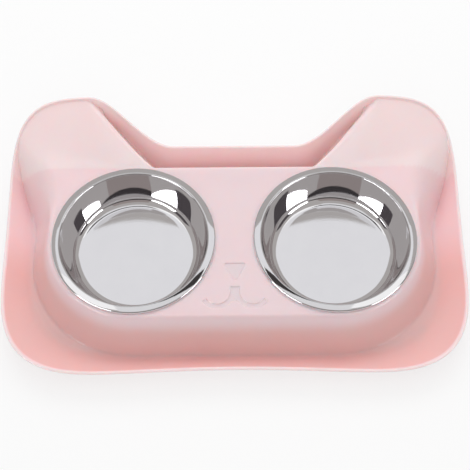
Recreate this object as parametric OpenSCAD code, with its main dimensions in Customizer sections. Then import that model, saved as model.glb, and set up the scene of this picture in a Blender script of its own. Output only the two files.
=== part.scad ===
// Double pet bowl: a cat-eared moulded tray that carries two lift-out steel bowls.
// Millimetres, +Z up, the front edge towards -Y. The origin lies under the middle
// of the outline, on the surface that the rubber feet stand on.

/* [Bowls] */
// Diameter over a bowl's rolled rim
rim_d = 130; // [115:1:150]
// Width of the rim, from the mouth to its outer edge
rim_w = 6.5; // [5:0.1:9]
// Height of the rim's top above the deck it rests on
rim_h = 3; // [2:0.1:4]
// Depth of a bowl, from the top of its rim to its floor
bowl_depth = 30.5; // [22:0.5:40]
// How far the edge of the flat floor lies inside the mouth
wall_inset = 14.3; // [9:0.1:18]
// Radius between a bowl's wall and its floor
floor_round = 5; // [2:0.5:12]
// Thickness of the steel
sheet = 0.6; // [0.4:0.1:1]
// Distance between the two rims
bowl_gap = 30; // [18:1:60]

/* [Tray] */
// Thickness of the moulded wall
tray_wall = 2.5; // [1.8:0.1:3.2]
// Play between a bowl and its hole, on the radius
hole_play = 0.8; // [0.4:0.1:1.5]
// Flat deck left round a bowl's rim
deck_margin = 2.5; // [2:0.1:8]
// Clear height under the bowls
floor_clearance = 10.9; // [8:0.1:30]
// Width over which the deck's edge is rounded
deck_round = 4; // [2:0.5:4]
// How far the flank slopes out at the front and sides
flank_run = 17.5; // [10:0.5:22]
// How far the flank slopes out at the back
back_flank_run = 9; // [6:0.5:11]
// Width of the gutter's floor
gutter_w = 4; // [3:0.5:8]
// Roundness of the gutter's two lower corners
gutter_round = 5; // [2:0.5:6]

/* [Outline] */
// From the deck's edge to the rim at the front
front_band = 39; // [33:0.5:60]
// From the deck's edge to the rim at each side
side_band = 39; // [33:0.5:60]
// From the deck's edge to the rim at the back
back_band = 20.5; // [18:0.5:30]
// From the deck's back edge to the tip of an ear
ear_band = 54.5; // [40:0.5:75]
// How far the front edge draws back at the middle
chin_dip = 3.8; // [0:0.1:8]
// Half the width over which the front edge draws back
chin_half_w = 146; // [80:1:180]
// How far inboard of a bowl's centre an ear starts to rise
ear_foot_in = 30; // [20:1:45]
// How far outboard of a bowl's centre an ear's tip lies
ear_tip_out = 40; // [20:1:60]

/* [Heights] */
// Height of the front rim above the gutter's floor
front_wall_h = 15; // [10:0.5:24]
// Height of an ear's tip above the deck
ear_rise = 24; // [12:0.5:40]
// Height of the small lip round an ear
ear_lip = 0.8; // [0.4:0.1:4]

/* [Face] */
// Depth of the nose and mouth in the deck
face_depth = 0.7; // [0.3:0.1:1.2]
// Width of the nose across its top
nose_w = 16.6; // [10:0.1:18]
// Width of the nose's blunt lower end
nose_tip_w = 4.2; // [4.2:0.1:6]
// Height of the nose
nose_h = 14.2; // [8:0.1:16]
// Radius of the nose's corners
nose_round = 1.2; // [0.6:0.1:2]
// From the bowls' centre line to the top of the nose
nose_y = 21.9; // [10:0.1:24]
// Width of the mouth's groove
mouth_line = 3.6; // [2:0.1:5]
// Radius of the mouth's two arms, to the middle of their grooves
arm_r = 12.1; // [8:0.1:13]
// From the bowls' centre line to the top of the mouth's stem
mouth_y = 42.2; // [40:0.1:44]
// Width of the stem
stem_w = 7.2; // [4:0.1:8]
// Length of the stem above the arms
stem_h = 4.2; // [2:0.1:6]

/* [Feet] */
// Diameter of a rubber foot
pad_d = 12; // [8:0.5:14]
// Thickness of a rubber foot
pad_h = 2.5; // [2:0.1:3]
// How far a foot stands proud of the tray
pad_proud = 1.5; // [1:0.1:1.8]
// Wall round a foot's recess
boss_wall = 2; // [1.5:0.1:3]
// Play round a foot in its recess
pad_play = 0.15; // [0.05:0.05:0.3]
// From the middle to each rear foot
rear_foot_x = 50; // [30:1:54]

/* [Hidden] */
$fn = 96;

// One overrun serves every cut.
over = 1;

// Bowls
rim_r = rim_d / 2;
mouth_r = rim_r - rim_w;
bowl_x = rim_r + bowl_gap / 2;
hole_r = mouth_r + sheet + hole_play;
// Shares of the rim's height that round its inner lip and its outer edge
lip_share = 0.5;
edge_share = 0.8;
lip_r = lip_share * rim_h;
edge_r = edge_share * rim_h;
// Most of the inset, or of the depth, that the lower corner's radius may take
corner_share = 0.93;
corner_r = min(floor_round, corner_share * wall_inset, corner_share * (bowl_depth - rim_h));
floor_r = mouth_r - wall_inset;

// Tray heights
deck_h = floor_clearance + bowl_depth + sheet - rim_h;
gutter_h = pad_proud + tray_wall;
front_h = gutter_h + front_wall_h;
ear_h = deck_h + ear_rise;

// Tray reaches, measured from the line or the point that a direction starts at
deck_r = rim_r + deck_margin;
front_reach = deck_r + front_band;
side_reach = deck_r + side_band;
back_reach = deck_r + back_band;
ear_reach = deck_r + ear_band;
ear_foot_x = bowl_x - ear_foot_in;
ear_tip_x = bowl_x + ear_tip_out;
edge_blend = min(deck_round, 2 * deck_margin);

// Squareness of the outline's corners: 2 is a circle, more is squarer
front_corner = 3.6;
ear_corner = 5.3;
deck_corner = 6;
// How late the rim climbs towards the ears
climb = 4.9;
// Share of a front corner's extra reach that widens the gutter there
corner_floor_share = 0.45;
// Share of the back wall's height that it leans out by
back_lean_share = 0.13;

// Bearings round a bowl, from 0 at the front to 180 at the back: the flank turns
// into the ear's ramp between the first two, and narrows to the back after the third
ramp_start = 104;
ramp_full = 134;
narrowing = 130;
// How far inboard of a bowl's centre the ear's inner ridge leaves the deck's back
// edge, as a share of the rim's radius, and how steeply it heads for the tip
ridge_start_share = 0.21;
ridge_slope = 1.12;
// Least share by which a direction must face the ridge's line to meet it
facing_share = 0.05;
// The ridge's softness grows by this share of its distance from the deck
ridge_soft_share = 0.3;
// The ear's ramp starts more softly where the deck's corner gives it room
ramp_soft_share = 1.6;
// How steeply the back gutter's floor climbs beside an ear's ridge
valley_climb = 1;

// Stations round half of the outline, and rings across the wall
front_steps = 4;
end_steps = 34;
back_steps = 14;
// Rings in each zone: deck edge, ramp or flank, ridge's fall, gutter, wall
top_zones = [3, 4, 4, 3, 4];
under_zones = [2, 4, 3, 3, 3];
crest_rings = 3;
// Least width of a zone, and least slope that counts as a fall
least_step = tray_wall / 5;
least_fall = 0.01;
reach_passes = 5;

// A smooth step from 0 to 1
function ease(t) = let(u = max(0, min(1, t))) u * u * (3 - 2 * u);
// Zero before a bend, x after it, and a parabola over the bend's width
function bend(x, w) = x > w / 2 ? x : x < -w / 2 ? 0 : pow(x + w / 2, 2) / (2 * w);
// The higher of two faces, with their meeting rounded
function rounded_max(a, b, w) = a + bend(b - a, w);
// Length of a slope per unit of its run
function tilt(slope) = sqrt(1 + slope * slope);
// Distance at which a direction leaves a squared oval
function oval(dx, dy, rx, ry, power) =
    pow(pow(abs(dx) / rx, power) + pow(abs(dy) / ry, power), -1 / power);

// How far the outline reaches forwards and backwards at x
function front_at(x) = front_reach - chin_dip * (1 - ease(x / chin_half_w));
function back_at(x) =
    back_reach + (ear_reach - back_reach) * ease((x - ear_foot_x) / (ear_tip_x - ear_foot_x));

// The outline's distance along a direction, found by closing in on it
function reach_along(x0, dx, dy, power, guess, passes) =
    passes < 1 ? guess :
    let(
        x = x0 + dx * guess,
        y = dy < 0 ? front_at(x) : back_at(x)
    )
    reach_along(x0, dx, dy, power, oval(dx, dy, side_reach, y, power), passes - 1);

function rim_height(y) =
    let(t = max(0, min(1, (y + front_reach) / (ear_reach + front_reach))))
    front_h + (ear_h - front_h) * pow(t, climb);

// Directions: straight ahead along the front, fanning round a bowl, straight back
function place(x0, bearing) = [x0, sin(bearing), -cos(bearing), bearing];
half_places = concat(
    [for (i = [0 : front_steps - 1]) place(bowl_x * i / front_steps, 0)],
    [for (i = [0 : end_steps - 1]) place(bowl_x, 180 * i / end_steps)],
    [for (i = [0 : back_steps]) place(bowl_x * (1 - i / back_steps), 180)]
);

// Ridge of an ear, where its ramp ends above the back wall
function ridge_line(x0, dx, dy) =
    let(
        from_start = x0 - bowl_x + ridge_start_share * rim_r,
        facing = dy - ridge_slope * dx
    )
    facing > facing_share ? (deck_r + ridge_slope * from_start) / facing : 2 * ear_reach;

// All that the wall's section needs along one direction
function section(p) =
    let(
        x0 = p[0],
        dx = p[1],
        dy = p[2],
        bearing = p[3],
        power = dy < 0 ? front_corner : ear_corner,
        reach = reach_along(x0, dx, dy, power, back_reach, reach_passes),
        rim_z = rim_height(dy * reach),
        deck = deck_r * oval(dx, dy, 1, 1, dy < 0 ? 2 : deck_corner),
        stretch = deck / deck_r,
        behind = ease((bearing - narrowing) / (180 - narrowing)),
        run = (flank_run + (back_flank_run - flank_run) * behind) * stretch,
        spare = max(reach - min(side_reach, front_reach), 0),
        front_foot = deck + run + gutter_w * stretch + corner_floor_share * spare,
        back_foot = reach - back_lean_share * (rim_z - gutter_h),
        foot = min(front_foot + (back_foot - front_foot) * behind, reach - tray_wall),
        wall_slope = (rim_z - gutter_h) / (reach - foot),
        flank = -(deck_h - gutter_h) / run,
        ramp = (rim_z - ear_lip - deck_h) / (reach - deck),
        turned = ease((bearing - ramp_start) / (ramp_full - ramp_start)),
        slope = flank + (ramp - flank) * turned,
        line = dy < 0 ? 2 * ear_reach : ridge_line(x0, dx, dy),
        ridge = rounded_max(deck, line, edge_blend),
        ramp_blend = edge_blend + ramp_soft_share * (deck - deck_r) * turned,
        ridge_blend = edge_blend + ridge_soft_share * (min(ridge, reach) - deck) * turned,
        beside_ear = max(0, x0 + dx * min(ridge, reach) - bowl_x + ridge_start_share * rim_r),
        floor_z = min(gutter_h + valley_climb * beside_ear * behind, deck_h - gutter_round)
    )
    [
        x0, dx, dy, reach, rim_z, deck, slope, ridge, flank, wall_slope,
        ramp_blend, ridge_blend, floor_z
    ];

// Where the deck's flat face bends into the ramp or the flank, and where the ramp bends
// at the ridge, when the faces are moved in by sink
function deck_bend(s, sink) = s[5] + sink * s[6] / (tilt(s[6]) + 1);
function ridge_bend(s, sink) = s[7] + sink * (s[8] + s[6]) / (tilt(s[8]) + tilt(s[6]));

// Height of the moulded wall's face at a distance, top when sink is 0
function island_height(s, dist, sink) =
    deck_h - sink + s[6] * bend(dist - deck_bend(s, sink), s[10])
    + (s[8] - s[6]) * bend(dist - ridge_bend(s, sink), s[11]);
function wall_height(s, dist, sink) =
    s[4] - tray_wall / 2 + (tray_wall / 2 - sink) * tilt(s[9])
    - s[9] * (s[3] - tray_wall / 2 - dist);
function face_height(s, dist, sink) =
    let(ground = rounded_max(island_height(s, dist, sink), s[12] - sink, gutter_round))
    rounded_max(ground, wall_height(s, dist, sink), gutter_round);

// Where a falling face, through z at a distance, lands on the gutter's floor or the wall
function lands(s, z, slope, at, sink) =
    slope < -least_fall ? at + (s[12] - sink - z) / slope : 2 * ear_reach;
function meets(s, z, slope, at, sink) =
    (wall_height(s, 0, sink) - z + slope * at) / (slope - s[9]);
function crease(s, sink) =
    let(
        deck_at = deck_bend(s, sink),
        ridge_at = ridge_bend(s, sink),
        deck_z = deck_h - sink,
        ridge_z = deck_z + s[6] * (ridge_at - deck_at)
    )
    min(
        lands(s, deck_z, s[6], deck_at, sink),
        lands(s, ridge_z, s[8], ridge_at, sink),
        meets(s, deck_z, s[6], deck_at, sink),
        meets(s, ridge_z, s[8], ridge_at, sink)
    );

// Distances that the rings keep to, so that they follow the deck's edge, the ridge,
// the crease and the foot of the wall
function key_distances(s, sink, end) =
    let(
        start = min(deck_bend(s, sink) - s[10] / 2, ridge_bend(s, sink) - s[11] / 2),
        fall = min(crease(s, sink), end - 2 * least_step),
        bent = min(deck_bend(s, sink) + s[10] / 2, fall - 2 * least_step),
        ridge = max(bent + least_step, min(ridge_bend(s, sink), fall - least_step)),
        foot = (s[12] - sink - wall_height(s, 0, sink)) / s[9]
    )
    [start, bent, ridge, fall, max(fall + least_step, min(foot, end - least_step)), end];
function spread(keys, counts) = concat(
    [for (k = [0 : len(counts) - 1]) for (i = [0 : counts[k] - 1])
        keys[k] + (keys[k + 1] - keys[k]) * i / counts[k]],
    [keys[len(counts)]]
);

// One section's points: out along the top, over the rounded crest, back underneath
function profile(s) =
    let(
        half = tray_wall / 2,
        lean = atan2(1, -s[9]),
        crest = [s[3] - half, s[4] - half],
        over_at = spread(key_distances(s, 0, crest[0] + half * cos(lean)), top_zones),
        under_at = spread(key_distances(s, tray_wall, crest[0] - half * cos(lean)), under_zones),
        last = len(under_at) - 1
    )
    concat(
        [for (i = [0 : len(over_at) - 2]) [over_at[i], face_height(s, over_at[i], 0)]],
        [for (i = [0 : crest_rings + 1])
            let(angle = lean - 180 * i / (crest_rings + 1))
            crest + half * [cos(angle), sin(angle)]],
        [for (i = [last - 1 : -1 : 0]) [under_at[i], face_height(s, under_at[i], tray_wall)]]
    );

half_sections = [for (p = half_places) section(p)];
half_profiles = [for (s = half_sections) profile(s)];
last_place = len(half_places) - 1;
// Right half from front to back, then the left half from back to front
loop_order = concat(
    [for (i = [0 : last_place]) [i, 1]],
    [for (i = [last_place - 1 : -1 : 1]) [i, -1]]
);
outline_y = [for (s = half_sections) s[2] * s[3]];
shift_y = -(max(outline_y) + min(outline_y)) / 2;

loop_count = len(loop_order);
ring_count = len(half_profiles[0]);
shell_points = concat(
    [for (o = loop_order)
        let(s = half_sections[o[0]])
        for (q = half_profiles[o[0]])
            [o[1] * (s[0] + s[1] * q[0]), shift_y + s[2] * q[0], q[1]]],
    [[0, shift_y, deck_h], [0, shift_y, deck_h - tray_wall]]
);
deck_centre = loop_count * ring_count;
under_centre = deck_centre + 1;
function shell_index(i, j) = (i % loop_count) * ring_count + j;
shell_faces = concat(
    [for (i = [0 : loop_count - 1]) for (j = [0 : ring_count - 2])
        [shell_index(i, j), shell_index(i + 1, j), shell_index(i, j + 1)]],
    [for (i = [0 : loop_count - 1]) for (j = [0 : ring_count - 2])
        [shell_index(i + 1, j), shell_index(i + 1, j + 1), shell_index(i, j + 1)]],
    [for (i = [0 : loop_count - 1])
        [deck_centre, shell_index(i + 1, 0), shell_index(i, 0)]],
    [for (i = [0 : loop_count - 1])
        [under_centre, shell_index(i, ring_count - 1), shell_index(i + 1, ring_count - 1)]]
);

// Feet: the front pair in the wide corners of the gutter, the rear pair behind the deck
corner_bearing = 45;
corner_section = section(place(bowl_x, corner_bearing));
corner_run = flank_run + (gutter_w + corner_floor_share * (corner_section[3] - side_reach)) / 2;
corner_dist = deck_r + corner_run;
front_foot_x = bowl_x + corner_dist * sin(corner_bearing);
front_foot_y = shift_y - corner_dist * cos(corner_bearing);
rear_section = half_sections[last_place];
rear_lean = back_lean_share * (rear_section[4] - gutter_h);
rear_foot_y = shift_y + (deck_r + back_flank_run + back_reach - rear_lean) / 2;
boss_r = pad_d / 2 + pad_play + boss_wall;
// Share of the gutter's floor that a foot's boss fills from below
boss_share = 0.7;
// Share of a pad's thickness that its lower edge is bevelled by
bevel_share = 0.2;

// Face: the mouth's arms curve away from the sides of its stem
arm_x = stem_w / 2 + arm_r - mouth_line / 2;
arm_y = mouth_y + stem_h;
// Angle below level at which an arm ends
arm_end = 35;
// Angle below level at which the stem's lower edge meets an arm
fork_angle = 40;
// Share of an arm's radius that the stem's lower edge lies below the arms' middles
fork_share = 0.55;
arm_steps = 20;
corner_steps = 6;

function arc(centre, r, from, to, steps) =
    [for (i = [0 : steps])
        let(angle = from + (to - from) * i / steps)
        centre + r * [cos(angle), sin(angle)]];

function mirrored(path) = [for (i = [len(path) - 1 : -1 : 0]) [-path[i][0], path[i][1]]];
function unit(v) = v / norm(v);
function along(path, i) = unit(path[min(i + 1, len(path) - 1)] - path[max(i - 1, 0)]);
// A sheet of thickness t that lies on the right of a path
function sheet_outline(path, t) = concat(
    path,
    [for (i = [len(path) - 1 : -1 : 0])
        let(a = along(path, i))
        path[i] + t * [a[1], -a[0]]]
);

// The bowl's inner face, from the middle of its floor to the foot of its rim
bend_steps = 12;
lip_steps = 6;
edge_steps = 8;
bowl_floor_z = rim_h - bowl_depth;
wall_top = [mouth_r, rim_h - lip_r];
corner_centre = [floor_r, bowl_floor_z + corner_r];
to_top = wall_top - corner_centre;
wall_angle = atan2(to_top[1], to_top[0]) + asin(corner_r / norm(to_top));
bowl_path = concat(
    [[0, bowl_floor_z]],
    arc(corner_centre, corner_r, -90, wall_angle - 90, bend_steps),
    arc([mouth_r + lip_r, rim_h - lip_r], lip_r, 180, 90, lip_steps),
    arc([rim_r - edge_r, rim_h - edge_r], edge_r, 90, 0, edge_steps),
    [[rim_r, 0]]
);

module bowl(side) {
    color("lightsteelblue")
    translate([side * bowl_x, shift_y, deck_h])
    rotate_extrude()
    polygon(sheet_outline(bowl_path, sheet));
}

module left_bowl() {
    bowl(-1);
}

module right_bowl() {
    bowl(1);
}

module nose() {
    half = nose_w / 2 - nose_round;
    tip = nose_tip_w / 2 - nose_round;
    high = nose_y + nose_round;
    low = nose_y + nose_h - nose_round;
    slant = atan2(half - tip, low - high);
    right = concat(
        arc([half, -high], nose_round, 90, -slant, corner_steps),
        arc([tip, -low], nose_round, -slant, -90, corner_steps)
    );
    polygon(concat(right, mirrored(right)));
}

module mouth() {
    right = concat(
        [[stem_w / 2, -mouth_y]],
        arc([arm_x, -arm_y], arm_r - mouth_line / 2, -180, -arm_end, arm_steps),
        arc([arm_x, -arm_y], arm_r + mouth_line / 2, -arm_end, fork_angle - 180, arm_steps)
    );
    polygon(concat(right, [[0, -arm_y - fork_share * arm_r]], mirrored(right)));
}

module boss(x, y) {
    translate([x, y, pad_proud]) cylinder(h = boss_share * tray_wall, r = boss_r);
}

module recess(x, y) {
    translate([x, y, pad_proud - over]) cylinder(h = over + pad_h - pad_proud, r = pad_d / 2 + pad_play);
}

module tray() {
    color("mistyrose")
    difference() {
        union() {
            polyhedron(shell_points, shell_faces);
            for (side = [-1, 1]) {
                boss(side * front_foot_x, front_foot_y);
                boss(side * rear_foot_x, rear_foot_y);
            }
        }
        for (side = [-1, 1]) {
            translate([side * bowl_x, shift_y, deck_h - tray_wall - over])
            cylinder(h = tray_wall + 2 * over, r = hole_r);
            recess(side * front_foot_x, front_foot_y);
            recess(side * rear_foot_x, rear_foot_y);
        }
        translate([0, shift_y, deck_h - face_depth])
        linear_extrude(face_depth + over) {
            nose();
            mouth();
        }
    }
}

// A rubber foot, bevelled round its lower edge
module pad(x, y) {
    bevel = bevel_share * pad_h;
    r = pad_d / 2;
    color("dimgray")
    translate([x, y, 0])
    rotate_extrude()
    polygon([[0, 0], [r - bevel, 0], [r, bevel], [r, pad_h], [0, pad_h]]);
}

module foot_front_left() {
    pad(-front_foot_x, front_foot_y);
}

module foot_front_right() {
    pad(front_foot_x, front_foot_y);
}

module foot_rear_left() {
    pad(-rear_foot_x, rear_foot_y);
}

module foot_rear_right() {
    pad(rear_foot_x, rear_foot_y);
}

tray();
left_bowl();
right_bowl();
foot_front_left();
foot_front_right();
foot_rear_left();
foot_rear_right();
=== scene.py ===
import math

import bmesh
import bpy
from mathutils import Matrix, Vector
from mathutils.geometry import delaunay_2d_cdt


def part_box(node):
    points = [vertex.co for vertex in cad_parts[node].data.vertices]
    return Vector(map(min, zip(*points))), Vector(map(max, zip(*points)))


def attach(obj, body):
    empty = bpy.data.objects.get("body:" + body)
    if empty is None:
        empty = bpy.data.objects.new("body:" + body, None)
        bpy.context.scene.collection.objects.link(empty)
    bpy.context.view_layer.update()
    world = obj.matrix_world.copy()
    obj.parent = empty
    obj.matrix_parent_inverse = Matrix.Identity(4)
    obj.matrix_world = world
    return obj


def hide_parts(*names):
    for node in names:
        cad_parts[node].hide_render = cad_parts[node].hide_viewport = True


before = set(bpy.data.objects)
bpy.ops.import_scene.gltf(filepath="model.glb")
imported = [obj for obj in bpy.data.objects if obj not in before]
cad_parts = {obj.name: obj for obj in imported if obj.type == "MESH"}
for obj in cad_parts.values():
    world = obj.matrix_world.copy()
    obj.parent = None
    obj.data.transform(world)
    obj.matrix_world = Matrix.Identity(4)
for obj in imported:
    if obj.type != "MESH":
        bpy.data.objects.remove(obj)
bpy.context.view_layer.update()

# Double pet bowl: a cat-eared glossy tray with two lift-out steel bowls on four rubber feet.
# Metres, +Z up, the front edge towards -Y, as in the frame.
MM = 0.001

# What the frame says about the bowls, the tray and the feet
tray_low, tray_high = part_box("tray")
bowl_low, bowl_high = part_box("right_bowl")
RIM_R = (bowl_high.x - bowl_low.x) / 2
BOWL_X = (bowl_high.x + bowl_low.x) / 2
BOWL_Y = (bowl_high.y + bowl_low.y) / 2
FOOT_NODES = ["foot_front_left", "foot_front_right", "foot_rear_left", "foot_rear_right"]
foot_low, foot_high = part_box(FOOT_NODES[0])
PAD_R = (foot_high.x - foot_low.x) / 2

# Bowls
RIM_W = 6.5 * MM
RIM_H = 3 * MM
BOWL_DEPTH = 30.5 * MM
WALL_INSET = 14.3 * MM
FLOOR_ROUND = 8.5 * MM
# Degrees from upright at the wall's top, and more below
WALL_LEAN = 7.5
SHEET = 0.6 * MM
FLOOR_RISE = 0.45 * MM
FLOOR_RISE_POWER = 4
LIP_R = 0.5 * RIM_H
EDGE_R = 1.3 * MM
# Degrees that the rim falls to its outer edge
RIM_FALL = 9
MOUTH_R = RIM_R - RIM_W
FLOOR_R = MOUTH_R - WALL_INSET
FLOOR_Z = RIM_H - BOWL_DEPTH
BOWL_SEGMENTS = 288
FLOOR_STEPS = 24
CORNER_STEPS = 24
WALL_STEPS = 16
LIP_STEPS = 7
EDGE_STEPS = 16
BEAD_STEPS = 6

# Tray heights
DECK_H = bowl_high.z - RIM_H
TRAY_WALL = 2.5 * MM
PAD_PROUD = tray_low.z
GUTTER_H = PAD_PROUD + TRAY_WALL
FRONT_H = GUTTER_H + 15 * MM
EAR_H = DECK_H + 23.75 * MM
EAR_LIP = 0.8 * MM

# Tray reaches from the line or the point that a direction starts at
DECK_R = RIM_R + 2.5 * MM
FRONT_REACH = DECK_R + 38.95 * MM
SIDE_REACH = DECK_R + 39 * MM
BACK_REACH = DECK_R + 20.5 * MM
EAR_REACH = DECK_R + 54.25 * MM
EAR_FOOT_X = BOWL_X - 30 * MM
EAR_TIP_X = BOWL_X + 40 * MM
CHIN_DIP = 3.8 * MM
CHIN_HALF_W = 146 * MM
FLANK_RUN = 17.5 * MM
BACK_FLANK_RUN = 9 * MM
GUTTER_W = 4 * MM
GUTTER_ROUND = 5 * MM
DECK_ROUND = 4 * MM
RIDGE_START = 0.21 * RIM_R

# Squareness of the outline's corners: 2 is a circle, more is squarer
FRONT_CORNER = 3.6
EAR_CORNER = 5.3
DECK_CORNER = 6
# How late the rim climbs from the front to the ears
CLIMB = 4.9
CORNER_FLOOR_SHARE = 0.45
BACK_LEAN_SHARE = 0.13
# Bearings, in degrees, at which the ears' ramps start and are full, and the back narrows
RAMP_START = 104
RAMP_FULL = 134
NARROWING = 130
RIDGE_SLOPE = 1.12
FACING_SHARE = 0.05
RIDGE_SOFT_SHARE = 0.51
RAMP_SOFT_SHARE = 1.6
VALLEY_CLIMB = 1
LEAST_STEP = TRAY_WALL / 5
LEAST_FALL = 0.01
REACH_PASSES = 6

# Stations round half of the outline, and rings in each zone across the wall:
# deck edge, ramp or flank, ridge's fall, gutter, wall
FRONT_STEPS = 16
END_STEPS = 150
BACK_STEPS = 48
TOP_ZONES = [10, 12, 12, 12, 14]
UNDER_ZONES = [5, 6, 6, 7, 7]
CREST_RINGS = 9

# Holes and face
HOLE_R = MOUTH_R + SHEET + 0.8 * MM
HOLE_EDGE = 0.5 * MM
HOLE_EDGE_STEPS = 5
HOLE_SEGMENTS = 192
FACE_DEPTH = 0.7 * MM
FACE_SOFT = 0.9 * MM
FACE_EDGE_SHARES = (-0.55, -0.4, -0.25, -0.1, 0.1, 0.25, 0.4, 0.55)
NOSE_W = 16.6 * MM
NOSE_TIP_W = 4.2 * MM
NOSE_H = 14.2 * MM
NOSE_ROUND = 1.2 * MM
NOSE_Y = 21.9 * MM
MOUTH_LINE = 3.6 * MM
ARM_R = 12.1 * MM
MOUTH_Y = 42.2 * MM
STEM_W = 7.2 * MM
STEM_H = 4.2 * MM
ARM_END = 35
FORK_ANGLE = 40
FORK_SHARE = 0.55
ARM_X = STEM_W / 2 + ARM_R - MOUTH_LINE / 2
ARM_Y = MOUTH_Y + STEM_H

# Feet
PAD_ROUND = 0.5 * MM
# How far a pad sits in its boss
PAD_DEPTH = 1 * MM
PAD_ROUND_STEPS = 6
GROOVE_PLACES = (2.2 * MM, 4 * MM)
GROOVE_W = 0.5 * MM
GROOVE_DEPTH = 0.25 * MM
BOSS_PLAY = 0.15 * MM
BOSS_WALL = 2 * MM
BOSS_HEIGHT = 1.75 * MM
PAD_SEGMENTS = 96


# Camera

CAMERA_LENS_MM = 76.04
CAMERA_SENSOR_MM = 36
CAMERA_ELEVATION = math.radians(62)
CAMERA_AZIMUTH = math.radians(-0.54)
CAMERA_ROLL = math.radians(0.02)
CAMERA_DISTANCE = 786.8 * MM
CAMERA_SHIFT = (0.0011, 0.0050)
CAMERA_TARGET = (0, BOWL_Y, 40.5 * MM)


def add_camera():
    data = bpy.data.cameras.new("camera")
    data.lens = CAMERA_LENS_MM
    data.sensor_width = CAMERA_SENSOR_MM
    data.shift_x, data.shift_y = CAMERA_SHIFT
    camera = bpy.data.objects.new("camera", data)
    bpy.context.collection.objects.link(camera)
    back = Vector((
        math.sin(CAMERA_AZIMUTH) * math.cos(CAMERA_ELEVATION),
        -math.cos(CAMERA_AZIMUTH) * math.cos(CAMERA_ELEVATION),
        math.sin(CAMERA_ELEVATION),
    ))
    camera.location = Vector(CAMERA_TARGET) + back * CAMERA_DISTANCE
    turn = (-back).to_track_quat("-Z", "Y").to_matrix().to_4x4()
    camera.rotation_euler = turn.to_euler()
    camera.rotation_euler.rotate_axis("Z", CAMERA_ROLL)
    bpy.context.scene.camera = camera


# Shaders

# The tray's mesh carries this value of light and shade painted into the plastic's colour: 0 is painted
# shade in the gutter, 1 the deck's own colour, and near 2 painted light at the ears and behind the
# deck
PAINTED_SHADING_ATTRIBUTE = "paleness"
# Painted light, on that value's scale: on the front crest, behind the deck and at the sides
CREST_PAINTED_LIGHT = 1.7
BEHIND_PAINTED_LIGHT = 1.9
ASIDE_PAINTED_LIGHT = 0.85
# Height at which the gutter's painted shade starts to fade, and how far below the deck it ends
GUTTER_SHADE_FADE_FROM_H = 20 * MM
GUTTER_SHADE_FADE_BELOW_DECK = 21 * MM
# How far below the ears' height their painted light is full, and over what length the painted light
# behind the deck comes in
EAR_PAINTED_LIGHT_SHORT = 6 * MM
BEHIND_PAINTED_LIGHT_BLEND = 6 * MM
# Where painted light starts on the sides, in front of the bowls' centre line, and over what length
ASIDE_PAINTED_LIGHT_START = 35 * MM
ASIDE_PAINTED_LIGHT_BLEND = 70 * MM


class Socket:
    """One value in a finish, which Python's operators work on by adding Math nodes."""

    def __init__(self, finish, link):
        self.finish = finish
        self.link = link

    def math(self, operation, *values):
        sockets = dict(enumerate(values))
        return self.finish.node("ShaderNodeMath", {"operation": operation}, sockets)

    def __add__(self, other):
        return self.math("ADD", self, other)

    def __radd__(self, other):
        return self.math("ADD", other, self)

    def __sub__(self, other):
        return self.math("SUBTRACT", self, other)

    def __rsub__(self, other):
        return self.math("SUBTRACT", other, self)

    def __mul__(self, other):
        return self.math("MULTIPLY", self, other)

    def __rmul__(self, other):
        return self.math("MULTIPLY", other, self)

    def __truediv__(self, other):
        return self.math("DIVIDE", self, other)

    def __rtruediv__(self, other):
        return self.math("DIVIDE", other, self)

    def __pow__(self, other):
        return self.math("POWER", self, other)

    def __abs__(self):
        return self.math("ABSOLUTE", self)

    def between(self, low, high):
        """0 below low, 1 above high, and smooth between them."""
        names = {"Value": self, "From Min": low, "From Max": high}
        return self.finish.node(
            "ShaderNodeMapRange", {"interpolation_type": "SMOOTHSTEP", "clamp": True}, names
        )


class Finish:
    """A material with one Principled shader, whose constants are set on its own sockets."""

    def __init__(self, name, **constants):
        self.material = bpy.data.materials.new(name)
        self.material.use_nodes = True
        self.tree = self.material.node_tree
        self.shader = self.tree.nodes["Principled BSDF"]
        for socket, value in constants.items():
            self.shader.inputs[socket.replace("_", " ")].default_value = value

    def node(self, kind, settings=None, sockets=None, output=0):
        """Adds a node, sets its settings first and its sockets after them."""
        made = self.tree.nodes.new(kind)
        for name, value in (settings or {}).items():
            if name == "stops":
                self.set_stops(made.color_ramp, value)
            else:
                setattr(made, name, value)
        for name, value in (sockets or {}).items():
            if isinstance(value, Socket):
                self.tree.links.new(value.link, made.inputs[name])
            else:
                made.inputs[name].default_value = value
        return Socket(self, made.outputs[output])

    def set_stops(self, ramp, stops):
        while len(ramp.elements) < len(stops):
            ramp.elements.new(1)
        for element, (place, colour) in zip(ramp.elements, stops):
            element.position = place
            element.color = colour

    def place(self):
        """The point of the surface in metres, which stays with a piece as it moves."""
        return self.node("ShaderNodeTexCoord", output="Object")

    def axes(self, place):
        split = {"Vector": place}
        return [self.node("ShaderNodeSeparateXYZ", sockets=split, output=i) for i in range(3)]

    def noise(self, place, scale, detail=3, roughness=0.5, stretch=(1, 1, 1)):
        spread = self.node(
            "ShaderNodeVectorMath", {"operation": "MULTIPLY"}, {0: place, 1: stretch}
        )
        sockets = {"Vector": spread, "Scale": scale, "Detail": detail, "Roughness": roughness}
        return self.node("ShaderNodeTexNoise", sockets=sockets, output="Fac")

    def mix(self, factor, first, second):
        """Blends two colours."""
        sockets = {"Factor": factor, 6: first, 7: second}
        return self.node("ShaderNodeMix", {"data_type": "RGBA"}, sockets, output=2)

    def bump(self, height, distance, strength=1.0):
        sockets = {"Height": height, "Distance": distance, "Strength": strength}
        return self.node("ShaderNodeBump", sockets=sockets)

    def feed(self, name, value):
        self.tree.links.new(value.link, self.shader.inputs[name])


def srgb(red, green, blue):
    """A colour given as it looks on a screen, 0 to 255, as a linear one."""
    def linear(c):
        share = c / 255
        return share / 12.92 if share <= 0.04045 else ((share + 0.055) / 1.055) ** 2.4
    return (linear(red), linear(green), linear(blue), 1)


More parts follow.
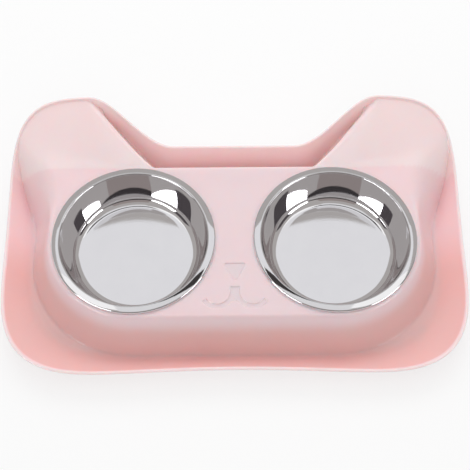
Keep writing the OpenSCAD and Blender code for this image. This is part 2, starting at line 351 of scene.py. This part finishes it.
def moulded_plastic():
    """Glossy blush-pink plastic that light soaks into, with painted shade (a deeper pink) in the
    gutter and painted light (a paler pink) at the ears, on the crest and behind the deck, and with
    faint cloudiness, orange peel and fine handling scratches."""
    finish = Finish(
        "moulded_plastic", IOR=1.49, Subsurface_Weight=0.8, Subsurface_Scale=5 * MM,
        Subsurface_Radius=(1.0, 0.55, 0.45),
    )
    place = finish.place()
    paleness = finish.node("ShaderNodeAttribute", {"attribute_name": PAINTED_SHADING_ATTRIBUTE}, output="Fac")
    cloud = finish.noise(place, 22, detail=4)
    # Painted shade: the deeper pink in the gutter. Painted light: the paler pink at the ears, on the
    # crest and behind the deck. The deck's pink is the plastic's own colour.
    gutter_painted_shade = finish.mix(cloud, srgb(238, 192, 189), srgb(239, 196, 193))
    level = finish.mix(cloud, srgb(249, 214, 217), srgb(251, 217, 220))
    painted_pale = finish.mix(cloud, srgb(253, 224, 225), srgb(254, 227, 228))
    gutter_shade_fade = finish.mix(paleness.between(0.0, 1.0), gutter_painted_shade, level)
    finish.feed("Base Color", finish.mix(paleness.between(1.0, 2.0), gutter_shade_fade, painted_pale))
    scuffs = finish.noise(place, 900, detail=6, roughness=0.65, stretch=(1, 0.12, 1))
    finish.feed("Roughness", 0.05 + scuffs * 0.06)
    peel = finish.noise(place, 260, detail=2)
    finish.feed("Normal", finish.bump(peel, 0.02 * MM, 0.6))
    return finish.material


def pressed_steel():
    """Polished steel with faint turned marks round the axis and faint wipe marks."""
    finish = Finish("pressed_steel", Metallic=1.0)
    place = finish.place()
    x, y = finish.axes(place)[:2]
    from_axis = ((abs(x) - BOWL_X) ** 2 + (y - BOWL_Y) ** 2) ** 0.5
    smears = finish.noise(place, 60, detail=4)
    tint = finish.mix(smears, srgb(236, 235, 237), srgb(242, 241, 242))
    finish.feed("Base Color", tint)
    sockets = {"Scale": 1.0, "Detail": 5.0, "Roughness": 0.7, "W": from_axis * 2600}
    turned = finish.node("ShaderNodeTexNoise", {"noise_dimensions": "1D"}, sockets, output="Fac")
    finish.feed("Roughness", 0.02 + smears * 0.02 + turned * 0.015)
    finish.feed("Normal", finish.bump(turned, 0.006 * MM, 0.5))
    return finish.material


def foot_rubber():
    """Dark grey rubber with a fine grain and a little dust."""
    finish = Finish("foot_rubber", IOR=1.5)
    place = finish.place()
    dust = finish.noise(place, 420, detail=5)
    finish.feed("Base Color", finish.mix(dust, srgb(44, 43, 44), srgb(70, 68, 68)))
    grain = finish.noise(place, 2200, detail=2)
    finish.feed("Roughness", 0.7 + grain * 0.2)
    finish.feed("Normal", finish.bump(grain, 0.05 * MM))
    return finish.material


# Section of the tray's moulded wall

def ease(t):
    t = min(max(t, 0), 1)
    return t * t * (3 - 2 * t)


def bend(x, width):
    """Zero before a bend, x after it, and a parabola over the bend's width."""
    if x > width / 2:
        return x
    if x < -width / 2:
        return 0
    return (x + width / 2) ** 2 / (2 * width)


def rounded_max(first, second, width):
    return first + bend(second - first, width)


def tilt(slope):
    """Length of a slope for each unit of its run."""
    return math.hypot(1, slope)


def oval(dx, dy, rx, ry, power):
    """Distance at which a direction leaves a squared oval."""
    return ((abs(dx) / rx) ** power + (abs(dy) / ry) ** power) ** (-1 / power)


def front_at(x):
    return FRONT_REACH - CHIN_DIP * (1 - ease(x / CHIN_HALF_W))


def back_at(x):
    return BACK_REACH + (EAR_REACH - BACK_REACH) * ease((x - EAR_FOOT_X) / (EAR_TIP_X - EAR_FOOT_X))


def rim_height(y):
    """Height of the rim, from the low front up to the ears."""
    t = min(max((y + FRONT_REACH) / (EAR_REACH + FRONT_REACH), 0), 1)
    return FRONT_H + (EAR_H - FRONT_H) * t ** CLIMB


class Section:
    """The moulded wall along one direction, from a point x0 on the bowls' centre line.
    A bearing runs from 0 at the front to 180 at the back. A sink of TRAY_WALL gives the
    underside."""

    def __init__(self, x0, bearing):
        self.x0 = x0
        self.dx = math.sin(math.radians(bearing))
        self.dy = -math.cos(math.radians(bearing))
        forward = self.dy < 0
        self.reach = self.find_reach(FRONT_CORNER if forward else EAR_CORNER)
        self.rim_z = rim_height(self.dy * self.reach)
        self.deck = DECK_R * oval(self.dx, self.dy, 1, 1, 2 if forward else DECK_CORNER)
        stretch = self.deck / DECK_R
        behind = ease((bearing - NARROWING) / (180 - NARROWING))
        run = (FLANK_RUN + (BACK_FLANK_RUN - FLANK_RUN) * behind) * stretch
        spare = max(self.reach - min(SIDE_REACH, FRONT_REACH), 0)
        front_foot = self.deck + run + GUTTER_W * stretch + CORNER_FLOOR_SHARE * spare
        back_foot = self.reach - BACK_LEAN_SHARE * (self.rim_z - GUTTER_H)
        foot = min(front_foot + (back_foot - front_foot) * behind, self.reach - TRAY_WALL)
        self.wall_slope = (self.rim_z - GUTTER_H) / (self.reach - foot)
        self.flank = -(DECK_H - GUTTER_H) / run
        ramp = (self.rim_z - EAR_LIP - DECK_H) / (self.reach - self.deck)
        turned = ease((bearing - RAMP_START) / (RAMP_FULL - RAMP_START))
        self.slope = self.flank + (ramp - self.flank) * turned
        edge_blend = min(DECK_ROUND, 2 * (DECK_R - RIM_R))
        self.ridge = rounded_max(self.deck, self.ridge_line(forward), edge_blend)
        self.ramp_blend = edge_blend + RAMP_SOFT_SHARE * (self.deck - DECK_R) * turned
        ridge_in = min(self.ridge, self.reach)
        self.ridge_blend = edge_blend + RIDGE_SOFT_SHARE * (ridge_in - self.deck) * turned
        beside_ear = max(0, x0 + self.dx * ridge_in - BOWL_X + RIDGE_START)
        climbed = GUTTER_H + VALLEY_CLIMB * beside_ear * behind
        self.floor_z = min(climbed, DECK_H - GUTTER_ROUND)

    def find_reach(self, power):
        """The outline's distance, found by closing in on it."""
        reach = BACK_REACH
        for _ in range(REACH_PASSES):
            x = self.x0 + self.dx * reach
            y = front_at(x) if self.dy < 0 else back_at(x)
            reach = oval(self.dx, self.dy, SIDE_REACH, y, power)
        return reach

    def ridge_line(self, forward):
        """Where the direction crosses the ridge at which an ear's ramp ends."""
        facing = self.dy - RIDGE_SLOPE * self.dx
        if forward or facing <= FACING_SHARE:
            return 2 * EAR_REACH
        return (DECK_R + RIDGE_SLOPE * (self.x0 - BOWL_X + RIDGE_START)) / facing

    def deck_bend(self, sink):
        return self.deck + sink * self.slope / (tilt(self.slope) + 1)

    def ridge_bend(self, sink):
        return self.ridge + sink * (self.flank + self.slope) / (tilt(self.flank) + tilt(self.slope))

    def island(self, dist, sink):
        return (
            DECK_H - sink + self.slope * bend(dist - self.deck_bend(sink), self.ramp_blend)
            + (self.flank - self.slope) * bend(dist - self.ridge_bend(sink), self.ridge_blend)
        )

    def wall(self, dist, sink):
        half = TRAY_WALL / 2
        top = self.rim_z - half + (half - sink) * tilt(self.wall_slope)
        return top - self.wall_slope * (self.reach - half - dist)

    def face(self, dist, sink):
        ground = rounded_max(self.island(dist, sink), self.floor_z - sink, GUTTER_ROUND)
        return rounded_max(ground, self.wall(dist, sink), GUTTER_ROUND)

    def crease(self, sink):
        """Where the falling face lands on the gutter's floor or the wall."""
        deck_at = self.deck_bend(sink)
        ridge_at = self.ridge_bend(sink)
        deck_z = DECK_H - sink
        ridge_z = deck_z + self.slope * (ridge_at - deck_at)
        places = []
        for z, slope, at in ((deck_z, self.slope, deck_at), (ridge_z, self.flank, ridge_at)):
            if slope < -LEAST_FALL:
                places.append(at + (self.floor_z - sink - z) / slope)
            meeting = (self.wall(0, sink) - z + slope * at) / (slope - self.wall_slope)
            places.append(meeting)
        return min(places)

    def key_distances(self, sink, end):
        """Distances that the rings keep to: deck's edge, ridge, crease, foot of the wall."""
        start = min(
            self.deck_bend(sink) - self.ramp_blend / 2,
            self.ridge_bend(sink) - self.ridge_blend / 2,
        )
        fall = min(self.crease(sink), end - 2 * LEAST_STEP)
        bent = min(self.deck_bend(sink) + self.ramp_blend / 2, fall - 2 * LEAST_STEP)
        ridge = max(bent + LEAST_STEP, min(self.ridge_bend(sink), fall - LEAST_STEP))
        foot = (self.floor_z - sink - self.wall(0, sink)) / self.wall_slope
        foot = max(fall + LEAST_STEP, min(foot, end - LEAST_STEP))
        return [start, bent, ridge, fall, foot, end]

    def profile(self):
        """Points (distance, height): out along the top, over the crest, back underneath."""
        half = TRAY_WALL / 2
        lean = math.atan2(1, -self.wall_slope)
        crest = (self.reach - half, self.rim_z - half)
        top = spread(self.key_distances(0, crest[0] + half * math.cos(lean)), TOP_ZONES)
        under_end = crest[0] - half * math.cos(lean)
        under = spread(self.key_distances(TRAY_WALL, under_end), UNDER_ZONES)
        points = [(dist, self.face(dist, 0)) for dist in top[:-1]]
        for i in range(CREST_RINGS + 2):
            angle = lean - math.pi * i / (CREST_RINGS + 1)
            points.append((crest[0] + half * math.cos(angle), crest[1] + half * math.sin(angle)))
        points += [(dist, self.face(dist, TRAY_WALL)) for dist in reversed(under[:-1])]
        return points

    def paleness(self, dist, z):
        """How much light or shade is painted into the plastic's colour here: painted shade at 0 in the
        gutter, the deck's own colour at 1, painted light up to 2 at an ear's tip.
        """
        gutter_shade_fade = ease((z - GUTTER_SHADE_FADE_FROM_H) / (DECK_H - GUTTER_SHADE_FADE_BELOW_DECK))
        behind = ease((self.dy * dist - DECK_R) / BEHIND_PAINTED_LIGHT_BLEND + 1)
        aside = ease((self.dy * dist + ASIDE_PAINTED_LIGHT_START) / ASIDE_PAINTED_LIGHT_BLEND)
        ear = ease((z - DECK_H) / (EAR_H - DECK_H - EAR_PAINTED_LIGHT_SHORT))
        return max(gutter_shade_fade + ear, ASIDE_PAINTED_LIGHT * aside, BEHIND_PAINTED_LIGHT * behind)

    def at(self, side, dist, z):
        """A point of this section in space, on the right side or mirrored on the left."""
        return Vector((side * (self.x0 + self.dx * dist), BOWL_Y + self.dy * dist, z))


def spread(keys, counts):
    places = []
    for low, high, count in zip(keys, keys[1:], counts):
        places += [low + (high - low) * i / count for i in range(count)]
    return places + [keys[-1]]


# Nose and mouth

def arc(centre, radius, start, end, steps):
    """Points along an arc, with its angles in degrees."""
    angles = [math.radians(start + (end - start) * i / steps) for i in range(steps + 1)]
    return [
        Vector((centre[0] + radius * math.cos(a), centre[1] + radius * math.sin(a)))
        for a in angles
    ]


def mirrored(path):
    return [Vector((-p.x, p.y)) for p in reversed(path)]


def nose_outline():
    half = NOSE_W / 2 - NOSE_ROUND
    tip = NOSE_TIP_W / 2 - NOSE_ROUND
    high = NOSE_Y + NOSE_ROUND
    low = NOSE_Y + NOSE_H - NOSE_ROUND
    slant = math.degrees(math.atan2(half - tip, low - high))
    right = arc((half, -high), NOSE_ROUND, 90, -slant, 8)
    right += arc((tip, -low), NOSE_ROUND, -slant, -90, 8)
    return right + mirrored(right)


def mouth_outline():
    right = [Vector((STEM_W / 2, -MOUTH_Y))]
    right += arc((ARM_X, -ARM_Y), ARM_R - MOUTH_LINE / 2, -180, -ARM_END, 24)
    right += arc((ARM_X, -ARM_Y), ARM_R + MOUTH_LINE / 2, -ARM_END, FORK_ANGLE - 180, 24)
    fork = Vector((0, -ARM_Y - FORK_SHARE * ARM_R))
    return right + [fork] + mirrored(right)


def resampled(outline, step):
    """The same closed outline with points no more than a step apart."""
    points = []
    for a, b in zip(outline, outline[1:] + outline[:1]):
        count = max(1, math.ceil((b - a).length / step))
        points += [a.lerp(b, i / count) for i in range(count)]
    return points


def inside(point, outline):
    """Whether a point lies within a closed outline."""
    found = False
    for a, b in zip(outline, outline[1:] + outline[:1]):
        if (a.y > point.y) != (b.y > point.y):
            if point.x < a.x + (b.x - a.x) * (point.y - a.y) / (b.y - a.y):
                found = not found
    return found


def depth_within(point, outline):
    """Distance to a closed outline, positive inside it."""
    nearest = min(
        distance_to(point, a, b) for a, b in zip(outline, outline[1:] + outline[:1])
    )
    return nearest if inside(point, outline) else -nearest


def distance_to(point, a, b):
    along = b - a
    share = (point - a).dot(along) / max(along.length_squared, 1e-18)
    return (point - a.lerp(b, min(max(share, 0), 1))).length


FACE_OUTLINES = [nose_outline(), mouth_outline()]


def face_drop(point):
    """How far the nose and mouth sink the deck at a point."""
    deepest = max(depth_within(point, outline) for outline in FACE_OUTLINES)
    return FACE_DEPTH * ease(deepest / FACE_SOFT + 0.5)


def face_points():
    """Points that follow the edges of the nose and mouth, on both sides of them."""
    points = []
    for outline in FACE_OUTLINES:
        path = resampled(outline, 0.5 * MM)
        for i, point in enumerate(path):
            along = path[(i + 1) % len(path)] - path[i - 1]
            outward = Vector((along.y, -along.x)).normalized()
            for share in FACE_EDGE_SHARES:
                points.append(point + outward * share * FACE_SOFT)
    return points


# Meshes

def new_piece(name, mesh_maker, material):
    """An object whose mesh is made by a function that fills a bmesh."""
    bm = bmesh.new()
    mesh_maker(bm)
    bmesh.ops.recalc_face_normals(bm, faces=bm.faces)
    mesh = bpy.data.meshes.new(name)
    bm.to_mesh(mesh)
    bm.free()
    piece = bpy.data.objects.new(name, mesh)
    bpy.context.collection.objects.link(piece)
    mesh.materials.append(material)
    for face in mesh.polygons:
        face.use_smooth = True
    mesh.set_sharp_from_angle(angle=math.radians(40))
    return piece


def bridge(bm, first, second):
    """Faces between two closed rings of as many points."""
    count = len(first)
    for i in range(count):
        j = (i + 1) % count
        bm.faces.new((first[i], first[j], second[j], second[i]))


def revolve(bm, path, centre, segments):
    """Turns a path of (radius, height) round a vertical axis. A radius of 0 is a point."""
    rings = []
    for radius, height in path:
        if radius == 0:
            rings.append([bm.verts.new((centre[0], centre[1], height))])
            continue
        ring = []
        for i in range(segments):
            angle = 2 * math.pi * i / segments
            x = centre[0] + radius * math.cos(angle)
            y = centre[1] + radius * math.sin(angle)
            ring.append(bm.verts.new((x, y, height)))
        rings.append(ring)
    for first, second in zip(rings, rings[1:]):
        if len(first) == 1 or len(second) == 1:
            tip, ring = (first[0], second) if len(first) == 1 else (second[0], first)
            for i in range(segments):
                bm.faces.new((tip, ring[i], ring[(i + 1) % segments]))
        else:
            bridge(bm, first, second)
    return rings


def fill_deck(bm, rim, holes, extra, height_at):
    """Triangles of a flat deck between its rim and its holes, through extra points."""
    loops = [rim] + holes
    verts = [v for loop in loops for v in loop]
    flat = [v.co.xy for v in verts]
    edges = []
    start = 0
    for loop in loops:
        count = len(loop)
        edges += [(start + i, start + (i + 1) % count) for i in range(count)]
        start += count
    inner = [Vector(p) for p in extra]
    result = delaunay_2d_cdt(flat + inner, edges, [], 2, 1e-9)
    places, faces, origins = result[0], result[2], result[3]
    made = []
    for i, place in enumerate(places):
        known = [o for o in origins[i] if o < len(verts)]
        if known:
            made.append(verts[known[0]])
        else:
            made.append(bm.verts.new((place.x, place.y, height_at(place))))
    for corners in faces:
        middle = sum((places[i] for i in corners), Vector((0, 0))) / len(corners)
        from_hole = math.hypot(abs(middle.x) - BOWL_X, middle.y - BOWL_Y)
        if from_hole > HOLE_R:
            bm.faces.new([made[i] for i in corners])


def hole_rings(bm, side):
    """The rings of a bowl's hole, from the deck's top to its underside, edges rounded."""
    steps = []
    for i in range(HOLE_EDGE_STEPS + 1):
        angle = math.pi / 2 * i / HOLE_EDGE_STEPS
        reach = HOLE_R + HOLE_EDGE * (1 - math.sin(angle))
        steps.append((reach, HOLE_EDGE * (1 - math.cos(angle))))
    top = [(r, DECK_H - drop) for r, drop in steps]
    low = [(r, DECK_H - TRAY_WALL + drop) for r, drop in reversed(steps)]
    return revolve(bm, top + low, (side * BOWL_X, BOWL_Y), HOLE_SEGMENTS)


def deck_points(step):
    """Points spread over the deck, clear of its rim and holes."""
    points = []
    across = int(2 * (BOWL_X + DECK_R) / step)
    along = int(2 * DECK_R / step)
    for i in range(across + 1):
        for j in range(along + 1):
            x = -BOWL_X - DECK_R + step * i
            y = -DECK_R + step * j
            beyond = max(abs(x) - BOWL_X, 0)
            from_hole = math.hypot(abs(x) - BOWL_X, y)
            if math.hypot(beyond, y) < DECK_R - step and from_hole > HOLE_R + step:
                points.append(Vector((x, y)))
    return points


def shell(bm):
    """The whole tray: sections round the outline, joined to a deck with two holes."""
    places = [(BOWL_X * i / FRONT_STEPS, 0) for i in range(FRONT_STEPS)]
    places += [(BOWL_X, 180 * i / END_STEPS) for i in range(END_STEPS)]
    places += [(BOWL_X * (1 - i / BACK_STEPS), 180) for i in range(BACK_STEPS + 1)]
    sections = [Section(*place) for place in places]
    profiles = [section.profile() for section in sections]
    last = len(places) - 1
    order = [(i, 1) for i in range(last + 1)] + [(i, -1) for i in range(last - 1, 0, -1)]
    painted_pale = bm.verts.layers.float.new(PAINTED_SHADING_ATTRIBUTE)
    crest_start = sum(TOP_ZONES)
    columns = []
    for i, side in order:
        column = []
        for j, (dist, z) in enumerate(profiles[i]):
            vert = bm.verts.new(sections[i].at(side, dist, z))
            on_crest = crest_start <= j < crest_start + CREST_RINGS + 2
            # The front crest is painted paler, as painted light; the rest takes its section's painted
            # light and shade.
            vert[painted_pale] = CREST_PAINTED_LIGHT if on_crest and z < DECK_H else sections[i].paleness(dist, z)
            column.append(vert)
        columns.append(column)
    rings = [list(ring) for ring in zip(*columns)]
    for first, second in zip(rings, rings[1:]):
        bridge(bm, first, second)
    left = hole_rings(bm, -1)
    right = hole_rings(bm, 1)
    shift = Vector((0, BOWL_Y))
    face = face_points()
    spare = deck_points(4 * MM)
    fill_deck(
        bm, rings[0], [left[0], right[0]], [p + shift for p in face + spare],
        lambda place: DECK_H - face_drop(place - shift),
    )
    fill_deck(
        bm, rings[-1], [left[-1], right[-1]], [p + shift for p in spare],
        lambda place: DECK_H - TRAY_WALL,
    )
    # The deck and the holes keep the plastic's own colour.
    walls = {vert for column in columns for vert in column}
    for vert in bm.verts:
        if vert not in walls:
            vert[painted_pale] = 1


def bowl_profile():
    """The sheet's inner face, its bottom edge and its outer face. The floor rises a little
    to its middle, the wall is a shallow arc that meets the floor's corner and the lip
    smoothly, and the rim falls a little outwards."""
    corner = (FLOOR_R, FLOOR_Z + FLOOR_ROUND)
    lip = Vector((MOUTH_R + LIP_R, RIM_H - LIP_R))
    inward = Vector((-math.cos(math.radians(WALL_LEAN)), math.sin(math.radians(WALL_LEAN))))
    top = lip + LIP_R * inward
    reach = top - Vector(corner)
    wall_r = (FLOOR_ROUND ** 2 - reach.dot(reach)) / (2 * (inward.dot(reach) + FLOOR_ROUND))
    centre = top + wall_r * inward
    foot_angle = math.degrees(math.atan2(corner[1] - centre.y, corner[0] - centre.x))
    path = []
    for i in range(1, FLOOR_STEPS):
        share = i / FLOOR_STEPS
        height = FLOOR_Z + FLOOR_RISE * (1 - share ** FLOOR_RISE_POWER)
        path.append(Vector((FLOOR_R * share, height)))
    path += arc(corner, FLOOR_ROUND, -90, foot_angle, CORNER_STEPS)
    path += arc(centre, wall_r, foot_angle, -WALL_LEAN, WALL_STEPS)[1:-1]
    path += arc(lip, LIP_R, 180 - WALL_LEAN, 90 - RIM_FALL, LIP_STEPS)
    fall = math.radians(RIM_FALL)
    across = RIM_R - EDGE_R - lip.x
    edge_z = lip.y + (LIP_R - EDGE_R - math.sin(fall) * across) / math.cos(fall)
    path += arc((RIM_R - EDGE_R, edge_z), EDGE_R, 90 - RIM_FALL, 0, EDGE_STEPS)
    path += [Vector((RIM_R, SHEET / 2))]
    outer = []
    for i, point in enumerate(path):
        along = path[min(i + 1, len(path) - 1)] - path[max(i - 1, 0)]
        along.normalize()
        outer.append(point + SHEET * Vector((along.y, -along.x)))
    edge = arc((RIM_R - SHEET / 2, SHEET / 2), SHEET / 2, 0, -180, BEAD_STEPS)[1:-1]
    return path, edge, outer


def bowl_mesh(side):
    def make(bm):
        path, edge, outer = bowl_profile()
        whole = [Vector((0, FLOOR_Z + FLOOR_RISE))] + path + edge + list(reversed(outer))
        whole += [Vector((0, FLOOR_Z + FLOOR_RISE - SHEET))]
        points = [(p.x, DECK_H + p.y) for p in whole]
        revolve(bm, points, (side * BOWL_X, BOWL_Y), BOWL_SEGMENTS)
    return make


# Feet

def foot_centre(name):
    low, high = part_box(name)
    return ((low.x + high.x) / 2, (low.y + high.y) / 2)


def foot_mesh(name):
    """A turned rubber pad: a flat sole with two grooves and a rounded lower edge."""
    def make(bm):
        path = [(0, 0)]
        for middle in GROOVE_PLACES:
            path.append((middle - GROOVE_W / 2, 0))
            path.append((middle - GROOVE_W / 4, GROOVE_DEPTH))
            path.append((middle + GROOVE_W / 4, GROOVE_DEPTH))
            path.append((middle + GROOVE_W / 2, 0))
        turn = arc((PAD_R - PAD_ROUND, PAD_ROUND), PAD_ROUND, -90, 0, PAD_ROUND_STEPS)
        path += [(p.x, p.y) for p in turn]
        path += [(PAD_R, PAD_PROUD + PAD_DEPTH), (0, PAD_PROUD + PAD_DEPTH)]
        revolve(bm, path, foot_centre(name), PAD_SEGMENTS)
    return make


def bosses(bm):
    """The round bosses under the tray that the feet sit in."""
    inner = PAD_R + BOSS_PLAY
    outer = inner + BOSS_WALL
    for name in FOOT_NODES:
        path = [
            (0, PAD_PROUD + PAD_DEPTH), (inner, PAD_PROUD + PAD_DEPTH), (inner, PAD_PROUD),
            (outer, PAD_PROUD), (outer, PAD_PROUD + BOSS_HEIGHT), (0, PAD_PROUD + BOSS_HEIGHT),
        ]
        revolve(bm, path, foot_centre(name), PAD_SEGMENTS)


# Studio

STAGE_HALF = 3
STAGE_GLOW_SHARE = 0.7


def add_stage():
    """A white floor that keeps the object's shadow."""
    size = STAGE_HALF
    mesh = bpy.data.meshes.new("studio_floor")
    corners = [(-size, -size, 0), (size, -size, 0), (size, size, 0), (-size, size, 0)]
    mesh.from_pydata(corners, [], [(0, 1, 2, 3)])
    floor = bpy.data.objects.new("studio_floor", mesh)
    bpy.context.collection.objects.link(floor)
    finish = Finish("studio_white", Base_Color=(0.9, 0.9, 0.9, 1), Roughness=0.9)
    path = finish.node("ShaderNodeLightPath", output="Is Camera Ray")
    glow = finish.node("ShaderNodeEmission", sockets={"Color": (1, 1, 1, 1), "Strength": 1.0})
    shader = Socket(finish, finish.shader.outputs[0])
    both = finish.node("ShaderNodeMixShader", sockets={0: path * STAGE_GLOW_SHARE, 1: shader, 2: glow})
    output = finish.tree.nodes["Material Output"]
    finish.tree.links.new(both.link, output.inputs["Surface"])
    mesh.materials.append(finish.material)


def add_lamp(name, place, target, size, power):
    data = bpy.data.lights.new(name, "AREA")
    data.shape = "RECTANGLE"
    data.size, data.size_y = size
    data.energy = power
    lamp = bpy.data.objects.new(name, data)
    bpy.context.collection.objects.link(lamp)
    lamp.location = place
    lamp.rotation_euler = (Vector(target) - Vector(place)).to_track_quat("-Z", "Y").to_euler()
    return lamp


# Panels and flags of the studio, which only mirror-like rays see: two opposite corners of
# each upright or level rectangle in metres, and its brightness
PANELS = {
    "right_softbox": ((0.47, -0.5, 0.19), (0.47, -0.135, 0.36), (5.0, 5.0, 5.1)),
    "left_softbox": ((-0.47, -0.9, 0.19), (-0.47, -0.2, 0.38), (5.0, 5.0, 5.1)),
    "right_flag": ((0.47, -0.135, 0.17), (0.47, 0.06, 0.42), (0.08, 0.07, 0.075)),
    "left_flag": ((-0.47, -0.2, 0.17), (-0.47, 0.0, 0.42), (0.08, 0.07, 0.075)),
    "camera_flag": ((-0.44, -0.8, 0.05), (0.8, -0.8, 0.42), (0.045, 0.04, 0.042)),
    "camera_wall": ((-0.44, -0.8, 0.42), (0.44, -0.8, 1.1), (0.31, 0.27, 0.26)),
    "back_gap_right": ((0.4, 0.7, 0.25), (0.9, 0.7, 0.4), (0.08, 0.07, 0.07)),
    "back_gap_left": ((-1.2, 0.7, 0.25), (-0.5, 0.7, 0.4), (0.1, 0.09, 0.09)),
    "back_ceiling": ((-0.7, 0.36, 1.2), (0.7, 0.735, 1.2), (0.8, 0.8, 0.82)),
    "ceiling_gap": ((-0.28, 0.2, 1.2), (0.28, 0.36, 1.2), (0.05, 0.045, 0.045)),
    "ceiling_left": ((-0.7, 0.03, 1.2), (-0.28, 0.36, 1.2), (1.0, 1.0, 1.0)),
    "ceiling_right": ((0.28, 0.03, 1.2), (0.7, 0.36, 1.2), (1.0, 1.0, 1.0)),
    "ceiling_front": ((-0.28, -0.15, 1.2), (0.28, 0.2, 1.2), (0.75, 0.75, 0.76)),
}

# Strength of the white air, and the grey that mirror-like rays see in its place
AIR_LIGHT = 0.66
MIRRORED_GREY = (0.43, 0.41, 0.4, 1)
# Lamps: where each hangs, its width and height in metres, and its power in watts. The
# brightest hangs above and behind the tray.
LAMPS = {
    "top_lamp": ((0, 0, 1.4), (0.9, 0.9), 1.8),
    "front_lamp": ((0, -0.9, 1.1), (0.9, 0.7), 1.3),
    "back_lamp": ((0, 1.1, 1.15), (1.6, 0.8), 9),
}


def add_panel(name):
    low, high, colour = PANELS[name]

    def sheet(bm):
        if low[2] == high[2]:
            corners = [(low[0], low[1]), (high[0], low[1]), (high[0], high[1]), (low[0], high[1])]
            places = [(x, y, low[2]) for x, y in corners]
        else:
            places = [low, (high[0], high[1], low[2]), high, (low[0], low[1], high[2])]
        bm.faces.new([bm.verts.new(place) for place in places])

    finish = Finish(name + "_face", Base_Color=(0, 0, 0, 1), Specular_IOR_Level=0.0)
    finish.shader.inputs["Emission Color"].default_value = colour + (1,)
    finish.shader.inputs["Emission Strength"].default_value = 1.0
    panel = new_piece(name, sheet, finish.material)
    for kind in ("camera", "diffuse", "transmission", "volume_scatter", "shadow"):
        setattr(panel, "visible_" + kind, False)


def add_light():
    world = bpy.data.worlds.new("studio_air")
    bpy.context.scene.world = world
    world.use_nodes = True
    tree = world.node_tree
    air = tree.nodes["Background"]
    air.inputs["Color"].default_value = (1, 1, 1, 1)
    air.inputs["Strength"].default_value = AIR_LIGHT
    dim = tree.nodes.new("ShaderNodeBackground")
    dim.inputs["Color"].default_value = MIRRORED_GREY
    dim.inputs["Strength"].default_value = 1.0
    mirrored_air = tree.nodes.new("ShaderNodeMixShader")
    path = tree.nodes.new("ShaderNodeLightPath")
    tree.links.new(path.outputs["Is Glossy Ray"], mirrored_air.inputs[0])
    tree.links.new(air.outputs[0], mirrored_air.inputs[1])
    tree.links.new(dim.outputs[0], mirrored_air.inputs[2])
    tree.links.new(mirrored_air.outputs[0], tree.nodes["World Output"].inputs["Surface"])
    for name in PANELS:
        add_panel(name)
    for name, (place, size, power) in LAMPS.items():
        lamp = add_lamp(name, place, (0, 0, 0), size, power)
        lamp.visible_glossy = False


add_camera()
add_stage()
add_light()

plastic = moulded_plastic()
steel = pressed_steel()
rubber = foot_rubber()

tray = new_piece("tray_moulding", shell, plastic)
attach(tray, "tray")
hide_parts("tray")

seats = new_piece("foot_bosses", bosses, plastic)
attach(seats, "tray")

for name, side in (("left_bowl", -1), ("right_bowl", 1)):
    bowl = new_piece(name + "_pressing", bowl_mesh(side), steel)
    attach(bowl, name)
    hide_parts(name)

for name in FOOT_NODES:
    pad = new_piece(name + "_pad", foot_mesh(name), rubber)
    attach(pad, "tray")
    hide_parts(name)

bpy.context.scene.view_settings.view_transform = "Standard"
